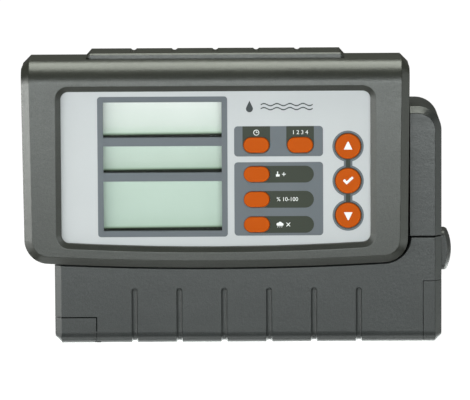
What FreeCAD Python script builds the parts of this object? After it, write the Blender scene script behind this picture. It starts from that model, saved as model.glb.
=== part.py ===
"""Wall-mounted irrigation controller: a flat wall housing, a plug-on control unit and a hinged terminal cover.

Frame: X to the right, Y back to the wall, Z up. The origin is the centre of the housing's back face.
"""

import FreeCAD, Part
import Sketcher
import math
import os

OUT = "parts"
V = FreeCAD.Vector

# Driving dimensions in millimetres. Depths are counted forward from the wall.
DIMENSIONS = {
    "base_width": 195,
    "base_height": 119.6,
    "base_top": 59.25,
    "base_depth": 48,
    "tray_depth": 17,
    "tray_wall": 2.5,
    "base_corner": 12,
    "foot_corner": 3,
    "base_bevel": 3.3,
    "plate_thick": 2.5,
    "block_width": 15.9,
    "block_foot": -5.9,
    "unit_width": 194.5,
    "unit_shift": -16,
    "unit_top": 84,
    "unit_foot": -17.4,
    "unit_bow": 3,
    "unit_taper": 1.2,
    "unit_front": 61,
    "unit_split": 28,
    "unit_back": 20.5,
    "unit_wall": 3,
    "unit_bevel": 4.1,
    "unit_round": 11,
    "unit_corner": 12,
    "rear_edge": 1.5,
    "soft_edge": 0.8,
    "key_edge": 0.4,
    "ridge_width": 130,
    "ridge_height": 2.8,
    "ridge_slope": 2.5,
    "ridge_corner": 3,
    "ridge_front": 47,
    "window_width": 154.8,
    "window_top": 68.9,
    "window_foot": -7,
    "window_bow": 2.3,
    "window_corner": 4,
    "window_slope": 2.8,
    "window_drop": 1.3,
    "panel_lap": 1.6,
    "panel_thick": 1.5,
    "display_x": -42.6,
    "display_width": 59.5,
    "display_a_top": 63.5,
    "display_a_foot": 45.5,
    "display_b_top": 41.4,
    "display_b_foot": 27.8,
    "display_c_top": 23.7,
    "display_c_foot": -1.6,
    "lcd_front": 54,
    "lcd_thick": 2,
    "board_front": 50,
    "board_thick": 1.6,
    "key_gap": 0.25,
    "key_proud": 0.6,
    "key_long": 12.8,
    "key_short": 7.7,
    "key_travel": 1,
    "round_key": 6.3,
    "cover_gap": 1.7,
    "cover_wall": 2.5,
    "cover_round": 6,
    "cover_edge": 0.6,
    "cover_top": -6.6,
    "hinge_radius": 2,
    "hinge_pin": 0.8,
    "hinge_slack": 0.06,
    "groove_radius": 1.7,
    "groove_lift": 0.7,
    "groove_top": -33.4,
    "groove_pitch": 22.6,
    "ridge_pitch": 20.6,
    "shutter_gap": 0.3,
    "left_shutter_width": 21,
    "left_shutter_top": -46.6,
    "right_shutter_width": 9.5,
    "right_shutter_top": -28.7,
    "button_depth": 20,
    "button_height": -16.2,
    "button_radius": 10,
    "button_corner": 3,
    "button_proud": 5.8,
    "button_dome": 2.2,
    "button_travel": 3,
    "battery_x": 26.5,
    "battery_y": 17.5,
    "battery_z": 46.4,
    "screw_radius": 1.45,
    "wall_hole": 2.25,
    "wall_hole_x": 70,
    "wall_hole_z": 45,
}


class Size:
    """A length that carries its number and the sheet expression that drives it."""

    def __init__(self, number, rule):
        self.number = float(number)
        self.rule = rule

    def __add__(self, other):
        other = size(other)
        return Size(self.number + other.number, f"({self.rule} + {other.rule})")

    def __sub__(self, other):
        other = size(other)
        return Size(self.number - other.number, f"({self.rule} - {other.rule})")

    def __mul__(self, other):
        other = size(other)
        return Size(self.number * other.number, f"({self.rule} * {other.rule})")

    def __truediv__(self, other):
        other = size(other)
        return Size(self.number / other.number, f"({self.rule} / {other.rule})")

    def __neg__(self):
        return Size(-self.number, f"(0 - {self.rule})")

    def __radd__(self, other):
        return size(other) + self

    def __rsub__(self, other):
        return size(other) - self

    def __rmul__(self, other):
        return size(other) * self


def size(value):
    """A Size from a Size or a plain number."""
    if isinstance(value, Size):
        return value
    if value < 0:
        return Size(value, f"(0 - {-value:g})")
    return Size(value, f"{value:g}")


class Sizes:
    """Every driving dimension as an attribute."""


doc = FreeCAD.newDocument("IrrigationController")
sheet = doc.addObject("Spreadsheet::Sheet", "Sizes")
d = Sizes()
for row, (alias, number) in enumerate(DIMENSIONS.items(), start=1):
    sheet.set(f"A{row}", alias)
    sheet.set(f"B{row}", str(number))
    sheet.setAlias(f"B{row}", alias)
    setattr(d, alias, Size(number, f"Sizes.{alias}"))
doc.recompute()

nodes = {}


# ---------------------------------------------------------------- helpers


def bind(thing, prop, value):
    """Drive one property of a document object from the sheet."""
    thing.setExpression(prop, size(value).rule)


def place(thing, at, rotation=None):
    """Put an object at three Sizes, turned by a fixed rotation."""
    if rotation is not None:
        thing.Placement = FreeCAD.Placement(V(0, 0, 0), rotation)
    for axis, value in zip("xyz", at):
        bind(thing, f"Placement.Base.{axis}", value)


def box(name, x, y, z):
    """A box between the two ends given along each axis, in either order."""
    thing = doc.addObject("Part::Box", name)
    corner = []
    for prop, (a, b) in zip(("Length", "Width", "Height"), (x, y, z)):
        low, high = sorted((size(a), size(b)), key=lambda s: s.number)
        bind(thing, prop, high - low)
        corner.append(low)
    place(thing, corner)
    return thing


TURNS = {
    "x": FreeCAD.Rotation(V(0, 1, 0), 90),
    "-x": FreeCAD.Rotation(V(0, 1, 0), -90),
    "y": FreeCAD.Rotation(V(1, 0, 0), -90),
    "-y": FreeCAD.Rotation(V(1, 0, 0), 90),
    "z": FreeCAD.Rotation(),
}


def rod(name, at, radius, length, along):
    """A cylinder that starts at a point and runs along an axis."""
    thing = doc.addObject("Part::Cylinder", name)
    bind(thing, "Radius", radius)
    bind(thing, "Height", length)
    place(thing, at, TURNS[along])
    return thing


def fuse(name, parts):
    thing = doc.addObject("Part::MultiFuse", name)
    thing.Shapes = parts
    thing.Refine = True
    return thing


def cut(name, base, tools):
    tool = tools[0] if len(tools) == 1 else group(name + "_tools", tools, True)
    thing = doc.addObject("Part::Cut", name)
    thing.Base = base
    thing.Tool = tool
    thing.Refine = True
    return thing


def common(name, parts):
    thing = doc.addObject("Part::MultiCommon", name)
    thing.Shapes = parts
    thing.Refine = True
    return thing


def group(name, parts, joined=False):
    """Several separate solids in one object, or one tool where they may meet."""
    thing = doc.addObject("Part::MultiFuse" if joined else "Part::Compound", name)
    if joined:
        thing.Shapes = parts
    else:
        thing.Links = parts
    return thing


def node(name, thing):
    """Record a finished sub-part under the name that its file gets."""
    nodes[name] = thing
    return thing


def new_body(name):
    return doc.addObject("PartDesign::Body", name)


def plane_of(body, role):
    return next(f for f in body.Origin.OriginFeatures if f.Role == role)


def add_arc(sketch, p, q, inside, radius):
    """A shallow arc between two points, bulging away from a point; says if it starts at the first."""
    middle = (p + q) / 2
    away = V(-(q - p).y, (q - p).x, 0).normalize()
    if away.dot(middle - inside) < 0:
        away = -away
    hub = middle - away * math.sqrt(radius**2 - (p - middle).Length ** 2)
    turns = [math.atan2((point - hub).y, (point - hub).x) for point in (p, q)]
    forward = (turns[1] - turns[0]) % (2 * math.pi) < math.pi
    start, finish = turns if forward else reversed(turns)
    circle = Part.Circle(hub, V(0, 0, 1), radius)
    return sketch.addGeometry(Part.ArcOfCircle(circle, start, finish), False), forward


def outline(body, name, plane, points, offset=0, arcs=None):
    """A closed sketch through the points; arcs gives the radius of the edge after a point, bulging outwards."""
    arcs = arcs or {}
    sketch = body.newObject("Sketcher::SketchObject", name)
    sketch.AttachmentSupport = [(plane_of(body, plane), "")]
    sketch.MapMode = "FlatFace"
    bind(sketch, "AttachmentOffset.Base.z", offset)
    points = [(size(a), size(b)) for a, b in points]
    centre = V(
        sum(a.number for a, _ in points) / len(points),
        sum(b.number for _, b in points) / len(points),
        0,
    )
    ends = []
    for i, (a, b) in enumerate(points):
        p = V(a.number, b.number, 0)
        a2, b2 = points[(i + 1) % len(points)]
        q = V(a2.number, b2.number, 0)
        if i in arcs:
            index, starts = add_arc(sketch, p, q, centre, arcs[i].number)
            ends.append((index, (1, 2) if starts else (2, 1)))
        else:
            index = sketch.addGeometry(Part.LineSegment(p, q), False)
            ends.append((index, (1, 2)))
    for i, (index, (_, finish)) in enumerate(ends):
        after, (start, _) = ends[(i + 1) % len(ends)]
        sketch.addConstraint(Sketcher.Constraint("Coincident", index, finish, after, start))
    for i, (a, b) in enumerate(points):
        index, (start, _) = ends[i]
        for kind, value in (("DistanceX", a), ("DistanceY", b)):
            rule = Sketcher.Constraint(kind, -1, 1, index, start, value.number)
            number = sketch.addConstraint(rule)
            bind(sketch, f"Constraints[{number}]", value)
    for i, radius in arcs.items():
        rule = Sketcher.Constraint("Radius", ends[i][0], radius.number)
        number = sketch.addConstraint(rule)
        bind(sketch, f"Constraints[{number}]", radius)
    return sketch


def pad(body, name, sketch, length, midplane=False):
    thing = body.newObject("PartDesign::Pad", name)
    thing.Profile = sketch
    bind(thing, "Length", length)
    thing.Midplane = midplane
    doc.recompute()
    return thing


def pocket(body, name, sketch, length, forward=True, midplane=False):
    """Cut a sketch's area out of the body, and make sure that it removed something."""
    before = body.Shape.Volume
    thing = body.newObject("PartDesign::Pocket", name)
    thing.Profile = sketch
    bind(thing, "Length", length)
    thing.Reversed = forward
    thing.Midplane = midplane
    doc.recompute()
    if not body.Shape.Volume < before - 1:
        raise RuntimeError(f"{name} removed nothing")
    return thing


def edges_of(feature, test):
    """Names of the feature's edges whose first and last corners and middle pass a test."""
    found = []
    for number, edge in enumerate(feature.Shape.Edges, start=1):
        if len(edge.Vertexes) < 2:
            continue
        first, last = (v.Point for v in edge.Vertexes)
        middle = edge.valueAt((edge.FirstParameter + edge.LastParameter) / 2)
        if test(first, last, middle):
            found.append(f"Edge{number}")
    if not found:
        raise RuntimeError(f"no edge of {feature.Label} passes the test")
    return found


def fillet(body, name, test, radius):
    base = body.Tip
    thing = body.newObject("PartDesign::Fillet", name)
    thing.Base = (base, edges_of(base, test))
    bind(thing, "Radius", radius)
    doc.recompute()
    return thing


def chamfer(body, name, test, amount):
    base = body.Tip
    thing = body.newObject("PartDesign::Chamfer", name)
    thing.Base = (base, edges_of(base, test))
    bind(thing, "Size", amount)
    doc.recompute()
    return thing


def soften(name, base, test, radius):
    """Small radius on some edges of a finished shape."""
    doc.recompute()
    thing = doc.addObject("Part::Fillet", name)
    thing.Base = base
    numbers = [int(edge[4:]) for edge in edges_of(base, test)]
    thing.Edges = [(number, radius.number, radius.number) for number in numbers]
    doc.recompute()
    return thing


def prism(name, points, back, depth, rounds):
    """An outline seen from the front, carried forward from a depth; rounds pairs an edge test with a radius."""
    body = new_body(name)
    sketch = outline(body, name + "_outline", "XZ_Plane", points, back)
    pad(body, name + "_pad", sketch, depth)
    for number, (test, radius) in enumerate(rounds):
        fillet(body, f"{name}_round_{number}", test, radius)
    return body


def rectangle(left, right, foot, top):
    return [(left, top), (right, top), (right, foot), (left, foot)]


def same(a, b):
    return abs(a - b) < 1e-3


def along_y(first, last):
    """The edge runs front to back."""
    return same(first.x, last.x) and same(first.z, last.z)


def arc_radius(half, rise):
    """Radius of an arc over a chord of twice half, with a given rise."""
    return (half * half + rise * rise) / (rise * 2)


def screw(name, at, length, along, head=2.6):
    """Cross-slotted screw: the point is under the head, and the shank runs along the axis."""
    back = {"y": "-y", "-y": "y", "x": "-x", "-x": "x"}[along]
    cap = rod(name + "_head", at, head, 1.8, back)
    shank = rod(name + "_shank", at, d.screw_radius, length, along)
    x, y, z = (size(v) for v in at)
    outward = {"y": -1.0, "-y": 1.0}[along]
    slots = []
    for wide, tall in ((1.7, 0.35), (0.35, 1.7)):
        low = y + 0.9 * outward
        high = y + 2.0 * outward
        slots.append(box(name + "_slot", (x - wide, x + wide), (low, high), (z - tall, z + tall)))
    return cut(name, fuse(name + "_blank", [cap, shank]), slots)


# ---------------------------------------------------------------- shared places

unit_left = d.unit_shift - d.unit_width / 2
unit_right = d.unit_shift + d.unit_width / 2
base_left = -(d.base_width / 2)
base_right = d.base_width / 2
base_top = d.base_top
base_foot = d.base_top - d.base_height
panel_front = d.unit_front - d.unit_wall
panel_back = panel_front - d.panel_thick
block_left = base_right - d.block_width
plate_front = d.tray_depth + d.plate_thick
plate_foot = d.unit_foot - d.unit_bow - 0.3
latch_side = base_right - 18
hinge_depth = d.tray_depth + 0.3 + d.hinge_radius
hinge_height = base_foot + d.hinge_radius
battery_left = unit_left + 5.8
battery_foot = size(3.5)
UNIT_SCREWS = [
    (unit_left + 8, d.unit_top - 9),
    (unit_right - 8, d.unit_top - 9),
    (unit_left + 9.5, d.unit_foot + 9.5),
    (unit_right - 9.5, d.unit_foot + 9.5),
]
KEYS = {
    "key_time": (4.35, 41.6),
    "key_channel": (26.25, 41.6),
    "key_manual": (4.45, 26.9),
    "key_run_time": (4.45, 14.2),
    "key_rain_off": (4.45, 1.5),
}
ROUND_KEYS = {"key_up": 40.8, "key_enter": 23.4, "key_down": 6.0}
ROUND_KEY_X = 50.2


def unit_points(inset, bow_inset=0):
    """Front outline of the control unit, drawn in by inset: narrower and bowed at the foot."""
    return [
        (unit_left + inset, d.unit_top - inset),
        (unit_right - inset, d.unit_top - inset),
        (unit_right - d.unit_taper - inset, d.unit_foot + inset + bow_inset),
        (unit_left + d.unit_taper + inset, d.unit_foot + inset + bow_inset),
    ]


def unit_bow_radius(inset):
    return arc_radius(d.unit_width / 2 - d.unit_taper - inset, d.unit_bow)


# ---------------------------------------------------------------- control unit


def is_foot_corner(first, last, middle):
    return along_y(first, last) and middle.z < d.unit_foot.number + 8


def unit_form(name, inset, back, depth, corner, offset=None):
    """The unit's outline as a solid between two depths, with its foot corners rounded."""
    body = new_body(name)
    sketch = outline(
        body, name + "_outline", "XZ_Plane", unit_points(inset), back, {2: unit_bow_radius(inset)}
    )
    pad(body, name + "_pad", sketch, depth)
    fillet(body, name + "_corners", is_foot_corner, corner)
    return body


def round_brow_and_rim(body, inset, round_off, bevel):
    """Round the top front edge and bevel the sides and foot of the front, over the brow and along the top."""
    front = -(d.unit_front - inset).number
    top = (d.unit_top - inset).number
    brow = top - size(round_off).number

    def is_brow(first, last, middle):
        return same(first.y, front) and same(last.y, front) and same(middle.z, top)

    def is_rim(first, last, middle):
        rear = max(first.y, last.y) > front + 15
        if same(first.y, last.y) and rear:
            return False
        if same(first.z, top) and same(last.z, top):
            return along_y(first, last)
        if same(first.y, front) and same(last.y, front):
            return not (same(first.z, brow) and same(last.z, brow))
        return middle.z > brow + 0.1 and not rear

    fillet(body, body.Name + "_brow", is_brow, round_off)
    chamfer(body, body.Name + "_rim", is_rim, bevel)


def cut_window(body):
    """Opening for the white panel: bowed at the foot, round-cornered, with a sloping surround."""
    half = d.window_width / 2
    front = -d.unit_front.number
    window = [
        (d.unit_shift - half, d.window_top),
        (d.unit_shift + half, d.window_top),
        (d.unit_shift + half, d.window_foot),
        (d.unit_shift - half, d.window_foot),
    ]
    arcs = {2: arc_radius(half, d.window_bow)}
    sketch = outline(body, "window_outline", "XZ_Plane", window, panel_front - 1, arcs)
    pocket(body, "window", sketch, d.unit_wall + 2)

    def in_window(point):
        inside = abs(point.x - d.unit_shift.number) < half.number + 0.01
        return inside and d.window_foot.number - 3 < point.z < d.window_top.number + 0.01

    def is_window_corner(first, last, middle):
        at_side = same(abs(middle.x - d.unit_shift.number), half.number)
        return along_y(first, last) and at_side and in_window(middle)

    def is_window_edge(first, last, middle):
        at_front = same(first.y, front) and same(last.y, front)
        return at_front and in_window(first) and in_window(last) and in_window(middle)

    fillet(body, "window_corners", is_window_corner, d.window_corner)
    slope = chamfer(body, "window_bevel", is_window_edge, d.window_slope)
    slope.ChamferType = "Two distances"
    bind(slope, "Size2", d.window_drop)
    doc.recompute()


def soften_front(body):
    """Small radii on the edges of the front's bevels."""
    front = -d.unit_front.number
    brow = (d.unit_top - d.unit_round).number
    rim = front + d.unit_bevel.number
    sill = -(d.unit_front - d.window_drop).number

    def is_front_edge(first, last, middle):
        at_front = same(first.y, front) and same(last.y, front) and same(middle.y, front)
        return at_front and not (same(first.z, brow) and same(last.z, brow))

    def is_rim_edge(first, last, middle):
        return same(first.y, rim) and same(last.y, rim) and middle.z < brow

    def is_sill_edge(first, last, middle):
        return same(first.y, sill) and same(last.y, sill)

    fillet(body, "soft_front", is_front_edge, d.soft_edge)
    fillet(body, "soft_rim", is_rim_edge, d.soft_edge)
    fillet(body, "soft_sill", is_sill_edge, d.soft_edge / 2)


def control_housing():
    """Front shell: rounded brow, bevelled rim, recessed window, ridge on top."""
    depth = d.unit_front - d.unit_split
    body = unit_form("housing_form", 0, d.unit_split, depth, d.unit_corner)
    round_brow_and_rim(body, 0, d.unit_round, d.unit_bevel)
    cut_window(body)
    soften_front(body)
    wall = d.unit_wall
    cavity = unit_form(
        "housing_cavity", wall, d.unit_split - 1, panel_front - d.unit_split + 1, d.unit_corner - wall
    )
    round_brow_and_rim(cavity, wall, d.unit_round - wall, 2)
    ridge = ridge_piece("housing_ridge", d.unit_split, d.ridge_front)
    bosses = []
    holes = []
    for x, z in UNIT_SCREWS:
        bosses.append(rod("housing_boss", (x, -d.unit_split, z), 3.6, 30.3, "-y"))
        holes.append(rod("housing_boss_hole", (x, 1 - d.unit_split, z), d.screw_radius, 12, "-y"))
    hollow = cut("housing_hollow", body, [cavity])
    solid = fuse("housing_solid", [hollow, ridge] + bosses)
    return node("control_housing", cut("control_housing", solid, holes + ridge_grooves("front")))


def ridge_piece(name, back, front):
    """Raised bar on top of the unit, with sloping ends."""
    body = new_body(name)
    half = d.ridge_width / 2
    sink = 1.5
    points = [
        (d.unit_shift - half, d.unit_top),
        (d.unit_shift - half + d.ridge_slope, d.unit_top + d.ridge_height),
        (d.unit_shift + half - d.ridge_slope, d.unit_top + d.ridge_height),
        (d.unit_shift + half, d.unit_top),
        (d.unit_shift + half, d.unit_top - sink),
        (d.unit_shift - half, d.unit_top - sink),
    ]
    sketch = outline(body, name + "_outline", "XZ_Plane", points, back)
    pad(body, name + "_pad", sketch, front - back)
    ridge_top = (d.unit_top + d.ridge_height).number

    def is_front_top(first, last, middle):
        at_front = same(first.y, -front.number) and same(last.y, -front.number)
        return at_front and same(middle.z, ridge_top)

    if front is not d.ridge_front:
        return body
    chamfer(body, name + "_edge", is_front_top, 0.7)

    def is_plan_corner(first, last, middle):
        upright = same(first.x, last.x) and same(first.y, last.y)
        return upright and same(middle.y, -front.number)

    plan = new_body(name + "_plan")
    corners = rectangle(d.unit_shift - half, d.unit_shift + half, -front, -back)
    sketch = outline(plan, name + "_plan_outline", "XY_Plane", corners, d.unit_top - sink - 1)
    pad(plan, name + "_plan_pad", sketch, d.ridge_height + sink + 2)
    fillet(plan, name + "_plan_corners", is_plan_corner, d.ridge_corner)
    return common(name + "_rounded", [body, plan])


def ridge_grooves(end):
    """Five finger grooves across the back half of the ridge."""
    height = d.unit_top + d.ridge_height + d.groove_lift + 0.2
    tools = []
    for step in range(-2, 3):
        x = d.unit_shift + d.ridge_pitch * step
        tools.append(rod(f"ridge_groove_{end}", (x, -(d.unit_back - 2), height), d.groove_radius, 19, "-y"))
    return tools


def rear_cover():
    """Back shell of the control unit, with the battery bay and the docking tongues."""
    depth = d.unit_split - d.unit_back
    body = unit_form("rear_form", 0, d.unit_back, depth - 0.1, d.unit_corner)
    back = -d.unit_back.number

    def is_rear_edge(first, last, middle):
        return same(first.y, back) and same(last.y, back)

    def is_top_corner(first, last, middle):
        return along_y(first, last) and middle.z > d.unit_top.number - 8

    chamfer(body, "rear_corners", is_top_corner, d.unit_bevel)
    chamfer(body, "rear_edges", is_rear_edge, d.rear_edge)
    wall = d.unit_wall
    cavity = unit_form("rear_cavity", wall, d.unit_back + 2.5, depth, d.unit_corner - wall)
    hollow = cut("rear_hollow", body, [cavity])
    ridge = ridge_piece("rear_ridge", d.unit_back, d.unit_split - 0.1)

    bay_x = (battery_left - 1.8, battery_left + d.battery_x + 1.8)
    bay_z = (battery_foot - 1.8, battery_foot + d.battery_z + 3.8)
    bay_front = -(d.unit_back + d.battery_y + 4.2)
    bay = box("bay", bay_x, (-(d.unit_back + 2.4), bay_front), bay_z)
    bay_hollow = box(
        "bay_hollow",
        (battery_left - 0.6, battery_left + d.battery_x + 0.6),
        (1 - d.unit_back, bay_front + 1.2),
        (battery_foot - 0.6, battery_foot + d.battery_z + 2.6),
    )
    door_seat = box(
        "door_seat",
        (unit_left - 2, battery_left + d.battery_x + 4),
        (1 - d.unit_back, -(d.unit_back + 2)),
        (battery_foot - 3, battery_foot + d.battery_z + 5),
    )
    tongues = []
    for x in (-75, 25):
        tongues.append(box("dock_tongue", (x, x + 20), (-12, -(d.unit_back + 2)), (44, 47)))
    catch = box(
        "catch",
        (latch_side - 16, latch_side - 12),
        (-9, -(d.unit_back + 2)),
        (d.button_height - 1.8, d.button_height + 2.6),
    )
    posts = [rod("rear_post", (x, -(d.unit_back + 1), z), 3.4, 6.3, "-y") for x, z in UNIT_SCREWS]
    solid = fuse("rear_solid", [hollow, ridge, bay, catch] + tongues + posts)
    holes = []
    for x, z in UNIT_SCREWS:
        holes.append(rod("rear_screw_hole", (x, 0, z), d.screw_radius + 0.15, 40, "-y"))
        holes.append(rod("rear_screw_head_seat", (x, 0, z), 3.0, d.unit_back + 3, "-y"))
    plug_slot = box("plug_slot", (-37, 5), (0, -40), (4, 16))
    tools = holes + [bay_hollow, door_seat, plug_slot] + ridge_grooves("rear")
    return node("control_rear_cover", cut("control_rear_cover", solid, tools))


def battery_door():
    """Flush sliding door over the battery bay, with two thumb grooves."""
    slack = 0.35
    plate = box(
        "door_plate",
        (unit_left + d.rear_edge + 0.4, battery_left + d.battery_x + 4 - slack),
        (-(d.unit_back + 0.1), -(d.unit_back + 2 - 0.15)),
        (battery_foot - 3 + slack, battery_foot + d.battery_z + 5 - slack),
    )
    x = battery_left + d.battery_x - 3
    middle = battery_foot + d.battery_z / 2
    grips = []
    for step in range(3):
        grips.append(
            rod("door_grip", (x + step * 2.2, 0.6 - d.unit_back, middle - 9), 1.0, 18, "z")
        )
    return node("battery_door", cut("battery_door", plate, grips))


def battery():
    """Nine-volt block with its two snap studs at the top, and the snap that it plugs into."""
    back = -(d.unit_back + 2.9)
    middle = back - d.battery_y / 2
    block = box(
        "battery_block",
        (battery_left, battery_left + d.battery_x),
        (back, back - d.battery_y),
        (battery_foot, battery_foot + d.battery_z - 3),
    )
    studs = []
    sockets = []
    top = battery_foot + d.battery_z - 3
    for side, radius in ((-1, 2.9), (1, 4.1)):
        x = battery_left + d.battery_x / 2 + side * 6.35
        studs.append(rod("battery_stud", (x, middle, top), radius, 2.2, "z"))
        sockets.append(rod("snap_socket", (x, middle, top - 1), radius + 0.1, 3.3, "z"))
    node("battery", fuse("battery", [block] + studs))
    strip = box(
        "snap_strip",
        (battery_left + 0.5, battery_left + d.battery_x - 0.5),
        (middle - 6, middle + 6),
        (top + 0.1, top + 4.6),
    )
    return node("battery_snap", cut("battery_snap", strip, sockets))


DISPLAY_ROWS = ("a", "b", "c")


def display_holes(name, grow, back, front):
    """Boxes through the three display openings, grown by a margin."""
    half = d.display_width / 2
    holes = []
    for row in DISPLAY_ROWS:
        top = getattr(d, f"display_{row}_top")
        foot = getattr(d, f"display_{row}_foot")
        x = (d.display_x - half - grow, d.display_x + half + grow)
        holes.append(box(name, x, (-back, -front), (foot - grow, top + grow)))
    return holes


def obround(name, x, z, wide, tall, back, front):
    """A round-ended bar standing out of the panel."""
    radius = size(tall) / 2
    reach = size(wide) / 2 - radius
    thick = size(front) - back
    ends = [rod(name + "_end", (x + s * reach, -size(back), z), radius, thick, "-y") for s in (-1.0, 1.0)]
    bar = box(name + "_bar", (x - reach, x + reach), (-size(back), -size(front)), (z - radius, z + radius))
    return fuse(name, ends + [bar])


def round_front(name, thing, radius):
    """Round every edge that lies in the frontmost plane of an object."""
    doc.recompute()
    front = thing.Shape.BoundBox.YMin
    picked = []
    for number, edge in enumerate(thing.Shape.Edges, start=1):
        if all(same(v.Point.y, front) for v in edge.Vertexes):
            picked.append((number, size(radius).number, size(radius).number))
    rounded = doc.addObject("Part::Fillet", name)
    rounded.Base = thing
    rounded.Edges = picked
    return rounded


def face_panel():
    """White front plate with the display openings and key holes, behind the window's rim."""
    body = new_body("panel_form")
    half = d.window_width / 2 + d.panel_lap
    top = d.window_top + d.panel_lap
    foot = d.window_foot - d.panel_lap
    points = [
        (d.unit_shift - half, top),
        (d.unit_shift + half, top),
        (d.unit_shift + half, foot),
        (d.unit_shift - half, foot),
    ]
    arcs = {2: arc_radius(half, d.window_bow)}
    sketch = outline(body, "panel_outline", "XZ_Plane", points, panel_back, arcs)
    pad(body, "panel_pad", sketch, d.panel_thick - 0.02)
    fillet(body, "panel_corners", lambda a, b, m: along_y(a, b), 3)
    back = panel_back - 1
    front = panel_front + 1
    tools = display_holes("panel_display", 0, back, front)
    for name, (x, z) in KEYS.items():
        wide = d.key_long + d.key_gap * 2
        tall = d.key_short + d.key_gap * 2
        tools.append(obround(name + "_hole", x, z, wide, tall, back, front))
    for name, z in ROUND_KEYS.items():
        radius = d.round_key + d.key_gap
        tools.append(rod(name + "_hole", (ROUND_KEY_X, -back, z), radius, 4, "-y"))
    return node("face_panel", cut("face_panel", body, tools))


def keys():
    """Eight caps, each with a retaining flange and a stem behind the panel."""
    flange_front = panel_back - 0.1
    flange_back = flange_front - 0.9
    stem_back = d.board_front + 1.0 + d.key_travel + 0.9
    face = panel_front + d.key_proud
    for name, (x, z) in KEYS.items():
        blank = obround(name + "_blank", x, z, d.key_long, d.key_short, flange_front - 0.5, face)
        cap = round_front(name + "_cap", blank, d.key_edge)
        flange = obround(
            name + "_flange", x, z, d.key_long + 2, d.key_short + 2, flange_back, flange_front
        )
        stem = obround(name + "_stem", x, z, 5, 3, stem_back, flange_back + 0.5)
        node(name, fuse(name, [cap, flange, stem]))
    for name, z in ROUND_KEYS.items():
        low = flange_front - 0.5
        blank = rod(name + "_blank", (ROUND_KEY_X, -low, z), d.round_key, face - low, "-y")
        cap = round_front(name + "_cap", blank, d.key_edge)
        flange = rod(name + "_flange", (ROUND_KEY_X, -flange_back, z), d.round_key + 1, 0.9, "-y")
        stem = rod(name + "_stem", (ROUND_KEY_X, -stem_back, z), 2, flange_back + 0.5 - stem_back, "-y")
        node(name, fuse(name, [cap, flange, stem]))


def keypad_mat():
    """Silicone sheet on the board, with a dome under each key."""
    sheet_back = d.board_front + 0.05
    plate = box("mat_sheet", (-4, 60), (-sheet_back, -(sheet_back + 0.9)), (-6, 50))
    domes = []
    places = list(KEYS.values()) + [(ROUND_KEY_X, z) for z in ROUND_KEYS.values()]
    for x, z in places:
        domes.append(rod("mat_dome", (x, -(sheet_back + 0.5), z), 2.6, 1.1, "-y"))
    return node("keypad_mat", fuse("keypad_mat", [plate] + domes))


def display():
    """Clear window, black spacer with three apertures, liquid-crystal glass and its rubber connectors."""
    half = d.display_width / 2
    low = d.display_c_foot - 3
    high = d.display_a_top + 3
    wide = (d.display_x - half - 3, d.display_x + half + 3)
    window = box("display_window", wide, (-(panel_back - 0.05), -(panel_back - 0.85)), (low, high))
    node("display_window", window)
    spacer = box("spacer_block", wide, (-(panel_back - 0.9), -(d.board_front + 0.05)), (low, high))
    glass_seat = box(
        "glass_seat",
        (wide[0] + 1.4, wide[1] - 1.4),
        (-(d.lcd_front + 0.1), -(d.board_front - 1)),
        (low + 1.4, high - 1.4),
    )
    apertures = display_holes("spacer_aperture", 0.25, d.lcd_front - 1, panel_back + 1)
    node("display_spacer", cut("display_spacer", spacer, [glass_seat] + apertures))
    glass = box(
        "lcd_glass",
        (wide[0] + 1.6, wide[1] - 1.6),
        (-d.lcd_front, -(d.lcd_front - d.lcd_thick)),
        (low + 1.6, high - 1.6),
    )
    node("lcd_glass", glass)
    strips = []
    for z in (low + 2.0, high - 4.0):
        strips.append(
            box(
                "connector_strip",
                (wide[0] + 4, wide[1] - 4),
                (-(d.lcd_front - d.lcd_thick - 0.02), -(d.board_front + 0.02)),
                (z, z + 2),
            )
        )
    node("lcd_connector_strips", group("lcd_connector_strips", strips))


def control_board():
    """Circuit board of the control unit, clear of the screw bosses, and what is soldered to its back."""
    back = d.board_front - d.board_thick
    board = box("control_board_blank", (-84, 66), (-d.board_front, -back), (-8, 68))
    holes = [rod("control_board_hole", (x, -back + 1, z), 1.7, 4, "-y") for x in (-81, 63) for z in (-5, 65)]
    node("control_circuit_board", cut("control_circuit_board", board, holes))
    chips = [
        box("processor", (-30, -16), (-back, -(back - 1.6)), (25, 39)),
        box("memory_chip", (-8, 0), (-back, -(back - 1.5)), (28, 34)),
        box("driver_chip", (12, 24), (-back, -(back - 1.5)), (40, 48)),
        rod("capacitor", (40, -back, 50), 3.2, 8, "y"),
        rod("buzzer", (45, -back, 20), 6.0, 5, "y"),
        box("quartz", (-30, -19), (-back, -(back - 3.4)), (45, 49.5)),
    ]
    node("control_board_parts", group("control_board_parts", chips))


def dock_connector():
    """Plug on the unit and socket in the housing: eight pins that slide into eight holes."""
    shell = box("plug_shell", (-36, 4), (-18.7, -46), (5, 15))
    pins = []
    holes = []
    for step in range(8):
        x = -33.5 + 5.0 * step
        pins.append(rod("plug_pin", (x, -19.5, 10), 0.5, 6.5, "y"))
        holes.append(rod("socket_hole", (x, -17, 10), 0.6, 8, "y"))
    node("dock_plug", fuse("dock_plug", [shell] + pins))
    block = box("socket_block", (-36, 4), (-16.6, -6.7), (5, 15))
    node("dock_socket", cut("dock_socket", block, holes))


def unit_screws():
    """Four screws that close the control unit from behind."""
    made = []
    for number, (x, z) in enumerate(UNIT_SCREWS):
        made.append(screw(f"unit_screw_{number}", (x, -(d.unit_back + 2.95), z), 14, "-y"))
    return node("control_unit_screws", group("control_unit_screws", made))


# ---------------------------------------------------------------- wall housing


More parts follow.
